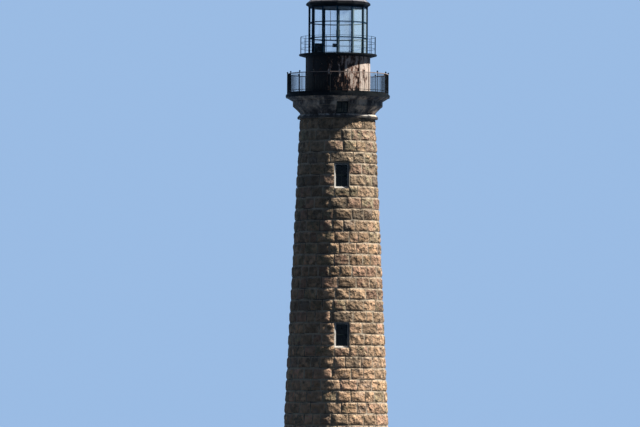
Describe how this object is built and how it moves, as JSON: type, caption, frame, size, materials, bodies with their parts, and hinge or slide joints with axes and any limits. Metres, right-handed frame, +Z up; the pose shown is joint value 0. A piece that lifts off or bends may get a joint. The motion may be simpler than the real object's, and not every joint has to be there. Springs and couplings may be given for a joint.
{
  "type": "lighthouse",
  "caption": "Tapering round lighthouse of coursed granite with a flared cornice, a railed gallery, an iron watch room and a faceted glazed lantern under a pointed roof.",
  "frame": {"origin": "on the tower's axis at ground level", "axes": "+Z up along the tower; the entrance and the window column face -Y"},
  "size_m": [7.3999, 7.4, 35.0105],
  "materials": {
    "granite": "rock faced",
    "cut_granite": "fine dressed",
    "floor_stone": "rough",
    "black_iron": "weathered paint",
    "watch_room_paint": "peeling paint over rust",
    "roof_paint": "weathered",
    "rod_metal": "dull",
    "window_paint": "worn paint",
    "small_window_paint": "weathered paint",
    "window_glass": "clear",
    "lantern_glass": "clear",
    "door_paint": "worn paint",
    "beacon_housing": "matte",
    "box_paint": "satin"
  },
  "bodies": {
    "root": {"plinth": "granite", "shaft_lower_left": "granite", "shaft_lower_right": "granite", "shaft_middle_left": "granite", "shaft_middle_right": "granite", "shaft_upper_left": "granite", "shaft_upper_right": "granite", "jamb_stones": "cut_granite", "lintel_and_sill_stones": "cut_granite", "belt_course": "cut_granite", "cornice_front": "cut_granite", "cornice_right": "cut_granite", "cornice_back": "cut_granite", "cornice_left": "cut_granite", "ground_floor": "floor_stone", "middle_floor": "floor_stone", "upper_floor": "floor_stone", "service_floor": "floor_stone", "main_gallery_deck": "black_iron", "main_railing_posts": "black_iron", "main_railing_panels": "black_iron", "lens_gallery_deck": "black_iron", "lens_railing_posts": "black_iron", "lens_railing_bars": "black_iron", "lantern_sill": "black_iron", "lantern_mullions": "black_iron", "lantern_bars": "black_iron", "lantern_ceiling": "black_iron", "lantern_eave": "black_iron", "beacon_stand": "black_iron", "watch_room_plates": "watch_room_paint", "watch_room_strips": "watch_room_paint", "watch_room_door": "watch_room_paint", "watch_room_vents": "watch_room_paint", "lantern_roof": "roof_paint", "vent_ball": "roof_paint", "lightning_rod": "rod_metal", "antenna": "rod_metal", "shaft_window_frames": "window_paint", "cornice_window_frames": "small_window_paint", "shaft_window_panes": "window_glass", "cornice_window_panes": "window_glass", "lantern_panes": "lantern_glass", "entrance_frame": "door_paint", "entrance_door": "door_paint", "beacon": "beacon_housing", "control_box": "box_paint", "equipment_box": "box_paint"}
  },
  "joints": []
}
